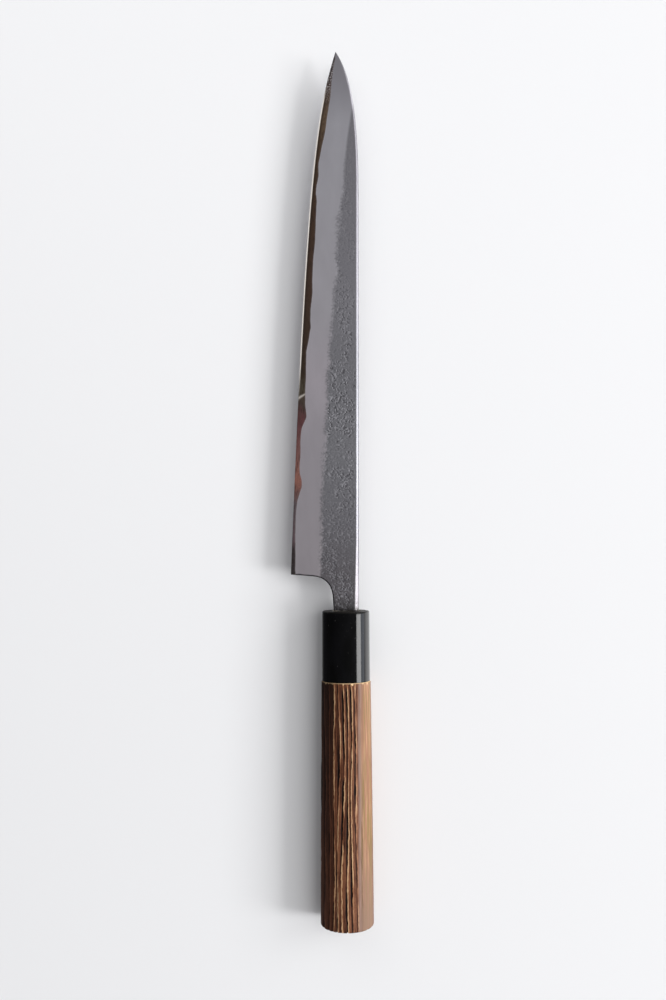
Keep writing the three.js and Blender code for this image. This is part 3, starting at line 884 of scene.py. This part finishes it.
def burntWood():
    material, tree = newMaterial("burntWood")
    look = woodLook
    tone, bare, left = (attributeOf(tree, name) for name in ("tone", "bare", "left"))
    sheenBand, right, limb = (attributeOf(tree, name) for name in ("sheenBand", "right", "limb"))
    fibre = objectNoise(tree, (0.4, 10, 0.4), detail=4)
    flecks = objectNoise(tree, (0.3, 0.9, 0.3), detail=2)
    streak = objectNoise(tree, (1.1, 36, 1.4), detail=3)
    gleam = objectNoise(tree, (0.9, 22, 1.1), detail=2)
    toButt = rangeAlong(tree, jointY, buttY, 0, 1)
    mixed = mathOf(tree, "MULTIPLY_ADD", fibre, look["fibreTone"], -look["fibreTone"] / 2)
    mixed = mathOf(tree, "MULTIPLY_ADD", flecks, look["fleckTone"], mixed)
    toned = mathOf(tree, "ADD", tone, mixed)
    toned = mathOf(tree, "SUBTRACT", toned, look["fleckTone"] / 2)
    colour = rampOf(tree, toned, look["tone"])
    # the left side: burnt dark and darkened further as painted shade, less toward the butt
    kept = rangeOf(tree, toButt, 0, 1, look["leftTop"], look["leftEnd"])
    dark = rampOf(tree, mathOf(tree, "MULTIPLY", toned, kept), look["tone"])
    # the right side: its own streaked tan, made paler as painted light, with the painted shade at its
    # outline
    light = mixColours(tree, rangeOf(tree, streak, 0.45, 0.55, 0, 1), look["right"], look["ochre"])
    light = mixColours(tree, rangeOf(tree, gleam, 0.5, 0.64, 0, 0.8), light, look["pale"])
    light = mixColours(tree, rangeOf(tree, fibre, 0.5, 0.68, 0, 0.6), light, look["rightLine"])
    light = mixColours(tree, rangeOf(tree, toButt, 0.62, 0.95, 0, 0.8), light, look["rightEnd"])
    light = mixColours(tree, rangeOf(tree, limb, 0, 1, 0, 0.75), light, look["limb"])
    # painted sheen: the grey-pink band, with fibre lines
    sheen = mixColours(tree, rangeOf(tree, fibre, 0.48, 0.66, 0, 0.7), look["sheenBand"], look["bandLine"])
    colour = mixColours(tree, left, colour, dark)
    colour = mixColours(tree, sheenBand, colour, sheen)
    colour = mixColours(tree, right, colour, light)
    colour = mixColours(tree, bare, colour, look["bareWood"])
    rough = rangeOf(tree, toned, 0.1, 0.8, look["rough"] + 0.3, look["rough"])
    bump = bumpOf(tree, fibre, 0.35, 0.12)
    links = {"Base Color": colour, "Roughness": rough, "Normal": bump}
    finishMaterial(tree, {"Specular IOR Level": 0.2}, links)
    return material


# Ferrule: a glossy black oval cap with a slot for the neck

ferruleForm = {
    "frontWidth": 21.7, "rearWidth": 22.0, "round": 0.8, "angles": 256,
    "jointShares": (0.4, 0.9, 0.985), "jointStep": 0.02,  # rings of the rear face, and its sharp rim
    "slotTop": 6.95, "slotBottom": -6.45, "slotHalf": 2.85, "slotDepth": 2.4, "slotPower": 6,
    "slotLip": 0.15, "slotDraft": 0.05,  # the slot narrows by the draft over the depth of its lip
}


slotMiddle = (ferruleForm["slotTop"] + ferruleForm["slotBottom"]) / 2


# Slot ring at the place y: a rounded rectangle as a superellipse about the slot's middle, grown
# outward by the given distance
def slotRing(angles, grow, y):
    form = ferruleForm
    power = form["slotPower"]
    turn = np.linspace(0, 2 * np.pi, angles, endpoint=False)
    wide = (form["slotTop"] - form["slotBottom"]) / 2 + grow
    tall = form["slotHalf"] + grow
    stretch = (np.abs(np.cos(turn)) ** power + np.abs(np.sin(turn)) ** power) ** (-1 / power)
    x = slotMiddle + wide * stretch * np.cos(turn)
    return np.column_stack([x, np.broadcast_to(y, x.shape), tall * stretch * np.sin(turn)])


# The cap: rear face, side and rounded rim as oval rings, then rings that blend into the slot and
# go down it
def makeFerrule(material):
    form = ferruleForm
    angles = form["angles"]
    sideY = np.linspace(jointY, -form["round"], 40)
    sideRadius = np.interp(sideY, [jointY, 0], [form["rearWidth"] / 2, form["frontWidth"] / 2])
    turn = np.linspace(0, np.pi / 2, 9)[1:]
    rimRadius = sideRadius[-1] - form["round"] * (1 - np.cos(turn))
    rimY = -form["round"] * (1 - np.sin(turn))
    rear = sideRadius[0] * np.array(form["jointShares"])
    radius = np.concatenate([rear, sideRadius, rimRadius])
    y = np.concatenate([np.full(len(rear), jointY), sideY, rimY])
    y[len(rear)] = jointY + form["jointStep"]
    outside = ovalRings(radius, y, angles)
    blend = np.linspace(0, 1, 7)[1:, None, None]
    face = outside[-1] * (1 - blend) + slotRing(angles, 0.0, 0.0) * blend
    depths = (form["slotLip"], form["slotDepth"])
    down = np.stack([slotRing(angles, -form["slotDraft"], -depth) for depth in depths])
    stack = np.concatenate([outside, face, down])
    poles = np.array([[0, jointY, 0], [slotMiddle, -form["slotDepth"], 0]])
    points = np.vstack([stack.reshape(-1, 3), poles])
    faces = [corners[::-1] for corners in ringFaces(len(stack), angles)]
    glossy = np.zeros(len(rear) + len(sideY))
    worn = np.concatenate([glossy, np.sin(turn), np.ones(len(face) + len(down))])
    layers = {"worn": np.append(np.repeat(worn, angles), [0, 1])}
    makePiece("ferrule_cap", points, faces, "ferrule", material, layers)


ferruleLook = {
    "black": (0.0005, 0.0005, 0.0006), "cloud": (0.0025, 0.0025, 0.0033),
    "worn": (0.014, 0.012, 0.01), "speck": (0.1, 0.095, 0.09),
    "rough": 0.06, "scuffed": 0.12, "wornRough": 0.45,
}


def blackFerrule():
    material, tree = newMaterial("blackFerrule")
    look = ferruleLook
    cloud = objectNoise(tree, (6, 14, 6), detail=4)
    colour = mixColours(tree, rangeOf(tree, cloud, 0.4, 0.7, 0, 1), look["black"], look["cloud"])
    worn = attributeOf(tree, "worn")
    colour = mixColours(tree, worn, colour, look["worn"])
    dust = objectNoise(tree, (0.35, 0.9, 0.35), detail=1)
    colour = mixColours(tree, rangeOf(tree, dust, 0.76, 0.82, 0, 1), colour, look["speck"])
    scuff = objectNoise(tree, (0.5, 5, 0.5), detail=4)
    rough = rangeOf(tree, scuff, 0.4, 0.75, look["rough"], look["rough"] + look["scuffed"])
    rough = mixColours(tree, worn, rough, (look["wornRough"],) * 3)
    bump = bumpOf(tree, objectNoise(tree, (2.5, 9, 2.5), detail=2), 0.06, 0.05)
    links = {"Base Color": colour, "Roughness": rough, "Normal": bump}
    finishMaterial(tree, {"IOR": 1.45, "Specular IOR Level": 0.15}, links)
    return material


# Mouth seal: an uneven bead of resin round the neck

sealForm = {
    "angles": 240, "steps": 10, "reach": 0.75, "proud": 0.42, "depth": 1.6,
    "overlap": 0.1,  # how far it reaches under the slot's rim and starts below its face
}


# The bead: rings of the slot's shape, from inside the mouth over an uneven crest to the neck
def makeSeal(material):
    form = sealForm
    angles, overlap = form["angles"], form["overlap"]
    share = np.linspace(0, 1, form["steps"])[:, None]
    turn = np.linspace(0, 2 * np.pi, angles, endpoint=False)[None, :]
    uneven = latticeNoise(turn * 5 + share * 0, share * 2 + turn * 0, 31) * 0.6
    uneven = uneven + latticeNoise(turn * 14, share * 3 + turn * 0, 32) * 0.4
    crest = form["proud"] * np.sin(np.pi * share) * (0.1 + 0.9 * uneven) - overlap
    grow = overlap - form["reach"] * share.ravel()
    rings = [slotRing(angles, grow[step], crest[step]) for step in range(form["steps"])]
    first = slotRing(angles, -overlap, -form["depth"])
    last = slotRing(angles, overlap - form["reach"], -form["depth"])
    stack = np.stack([first, *rings, last])
    # the last ring is followed by the first one again
    quads = gridQuads(len(stack) + 1, angles, closed=True) % (len(stack) * angles)
    faces = quads[:, ::-1].tolist()
    makePiece("seal_bead", stack.reshape(-1, 3), faces, "mouth_seal", material, {})


sealLook = {"dark": (0.03, 0.028, 0.024), "pale": (0.45, 0.41, 0.33), "rough": 0.45, "patchy": 0.25}


def sealResin():
    material, tree = newMaterial("sealResin")
    look = sealLook
    patch = objectNoise(tree, (1.6, 1.6, 1.6), detail=4)
    colour = mixColours(tree, rangeOf(tree, patch, 0.48, 0.62, 0, 1), look["dark"], look["pale"])
    rough = rangeOf(tree, patch, 0.3, 0.7, look["rough"], look["rough"] + look["patchy"])
    finishMaterial(tree, {}, {"Base Color": colour, "Roughness": rough})
    return material


# Bedding: amber resin, hidden in the handle

beddingLook = {"amber": (0.5, 0.34, 0.15), "pale": (0.7, 0.55, 0.3), "rough": 0.4}


def beddingResin():
    material, tree = newMaterial("beddingResin")
    look = beddingLook
    swirl = objectNoise(tree, (3, 9, 3), detail=3)
    colour = mixColours(tree, rangeOf(tree, swirl, 0.35, 0.65, 0, 1), look["amber"], look["pale"])
    finishMaterial(tree, {"Roughness": look["rough"]}, {"Base Color": colour})
    return material


# Stage: floor, light and camera

stageForm = {
    "floorHalf": 4.0, "floorColour": (0.8, 0.802, 0.815), "floorRough": 0.6, "floorShine": 0.05,
    "worldLeft": (0.17, 0.17, 0.178), "worldRight": (0.58, 0.58, 0.58),
    # lamps: elevation in degrees, distance, place along the knife, size, power, colour,
    # whether they light surfaces, whether they show in gloss
    "lamps": {
        "window": (32, 3.0, -0.5, (0.84, 1.16), 52.0, (1, 1, 1), True, True),
        "farWindow": (32, 3.0, 1.2, (1.5, 1.16), 24.0, (1, 1, 1), True, True),
        "windowGlint": (32, 2.9, -0.5, (0.68, 1.16), 26.0, (1, 1, 1), False, True),
        "lowWindow": (9.5, 3.0, -0.5, (1.0, 1.2), 25.0, (0.84, 0.9, 1.0), False, True),
        "softLight": (58, 3.2, 0.0, (2.6, 2.6), 44.0, (1, 1, 1), True, False),
        "tipFill": (118, 0.5, 0.4, (0.4, 0.4), 0.42, (1, 1, 1), True, False),
    },
    # what gloss sees on the floor, in metres: a painted shade left of the handle, from a place across
    # and one along, each with a soft end, and a painted glow right of the ferrule
    "glossShade": (0.13, 0.13, 0.14), "darkAcross": (-0.007, -0.019), "darkAlong": (-0.03, -0.05),
    "glossGlow": 4.3, "glowFrom": (0.016, 0.05), "glowEnds": (-0.05, -0.115), "glowSoft": 0.015,
    "glowFar": (0.07, 0.13), "glowLeft": 0.75,  # the painted glow dims to this share far out
}


# The floor: plain and pale, but gloss sees a painted shade and a painted glow on it, each with soft ends
def makeFloor():
    form = stageForm
    half = form["floorHalf"]
    corners = [(-half, -half, 0), (half, -half, 0), (half, half, 0), (-half, half, 0)]
    mesh = bpy.data.meshes.new("floor")
    mesh.from_pydata(corners, [], [(0, 1, 2, 3)])
    floor = bpy.data.objects.new("floor", mesh)
    bpy.context.scene.collection.objects.link(floor)
    material, tree = newMaterial("paleFloor")
    place = addNode(tree, "ShaderNodeTexCoord").outputs["Object"]
    axes = addNode(tree, "ShaderNodeSeparateXYZ", links={"Vector": place}).outputs
    gloss = addNode(tree, "ShaderNodeLightPath").outputs["Is Glossy Ray"]

    # what gloss sees: the product of ranges across (X) or along (Y)
    def seenInGloss(*ranges):
        total = gloss
        for axis, *values in ranges:
            total = mathOf(tree, "MULTIPLY", total, rangeOf(tree, axes[axis], *values))
        return total

    high, low = form["glowEnds"]
    dark = seenInGloss(("X", *form["darkAcross"], 0, 1), ("Y", *form["darkAlong"], 0, 1))
    glow = seenInGloss(
        ("X", *form["glowFrom"], 0, form["glossGlow"]),
        ("X", *form["glowFar"], 1, form["glowLeft"]),
        ("Y", high + form["glowSoft"], high, 0, 1),
        ("Y", low - form["glowSoft"], low, 0, 1),
    )
    colour = mixColours(tree, dark, form["floorColour"], form["glossShade"])
    values = {"Roughness": form["floorRough"], "Specular IOR Level": form["floorShine"]}
    values["Emission Color"] = (1, 1, 1, 1)
    finishMaterial(tree, values, {"Base Color": colour, "Emission Strength": glow})
    material.cycles.emission_sampling = "NONE"
    mesh.materials.append(material)


# An area light on the spine's side, at an elevation in degrees, that faces the knife
def makeLight(name, elevation, away, along, size, power, colour, lights, inGloss):
    light = bpy.data.lights.new(name, "AREA")
    light.shape = "RECTANGLE"
    light.size, light.size_y = size
    light.energy = power
    light.color = colour
    lamp = bpy.data.objects.new(name, light)
    angle = math.radians(elevation)
    lamp.location = (away * math.cos(angle), along, away * math.sin(angle))
    lamp.rotation_euler = (0, math.pi / 2 - angle, 0)
    lamp.rotation_euler.rotate_axis("Z", math.pi / 2)
    lamp.visible_diffuse = lights
    lamp.visible_glossy = inGloss
    bpy.context.scene.collection.objects.link(lamp)


# The room: grey that goes from the darker left side to the lighter right one
def makeWorld():
    world = bpy.data.worlds.new("room")
    world.use_nodes = True
    tree = world.node_tree
    tree.nodes.clear()
    direction = addNode(tree, "ShaderNodeTexCoord").outputs["Generated"]
    side = addNode(tree, "ShaderNodeSeparateXYZ", links={"Vector": direction}).outputs["X"]
    share = rangeOf(tree, side, -1, 1, 0, 1)
    colour = mixColours(tree, share, stageForm["worldLeft"], stageForm["worldRight"])
    background = addNode(tree, "ShaderNodeBackground", links={"Color": colour}).outputs["Background"]
    addNode(tree, "ShaderNodeOutputWorld", links={"Surface": background})
    bpy.context.scene.world = world


# The photograph looks straight down: pixel places in its 666 by 1000 frame
viewForm = {
    "imageWide": 666, "imageTall": 1000, "pixelsPerMm": 2.177, "height": 464.0, "sensor": 36,
    "frontPixel": (345.75, 610.65), "lean": 0.3,  # degrees that the knife leans to the left
    "belowPixel": (333.0, 535.0),  # where the table right below the camera falls
}


# Camera over the table: the ferrule's front falls on its pixel, and the focal length gives the
# scale there
def makeCamera():
    form = viewForm
    lean = math.radians(form["lean"])
    right = np.array([math.cos(lean), -math.sin(lean)])
    up = np.array([math.sin(lean), math.cos(lean)])
    middle = np.array([form["imageWide"], form["imageTall"]]) / 2
    below = np.array(form["belowPixel"])
    offset = (np.array(form["frontPixel"]) - below) / form["pixelsPerMm"]
    centre = origin[:2] * 1000 - offset[0] * right + offset[1] * up
    focal = form["pixelsPerMm"] * (form["height"] - origin[2] * 1000)
    data = bpy.data.cameras.new("camera")
    data.sensor_width = form["sensor"]
    data.lens = form["sensor"] * focal / form["imageTall"]
    data.shift_x, data.shift_y = (middle - below) * [1, -1] / form["imageTall"]
    camera = bpy.data.objects.new("camera", data)
    camera.location = (centre[0] * 0.001, centre[1] * 0.001, form["height"] * 0.001)
    camera.rotation_euler = (0, 0, -lean)
    bpy.context.scene.collection.objects.link(camera)
    bpy.context.scene.camera = camera


# Making

makeCamera()
makeFloor()
makeWorld()
for lampName, lampValues in stageForm["lamps"].items():
    makeLight(lampName, *lampValues)
print("stage ready")

steel = claddingSteel()
makeCladding("left_face", "left_cladding", 1, 41, steel)
makeCladding("right_face", "right_cladding", -1, 61, steel)
makeCore(coreSteel())
makeFerrule(blackFerrule())
makeWood(burntWood())
makeSeal(sealResin())

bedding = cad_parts["tang_bedding"]
bedding.data.materials.clear()
bedding.data.materials.append(beddingResin())
print("pieces ready")

bpy.context.scene.view_settings.view_transform = "Standard"
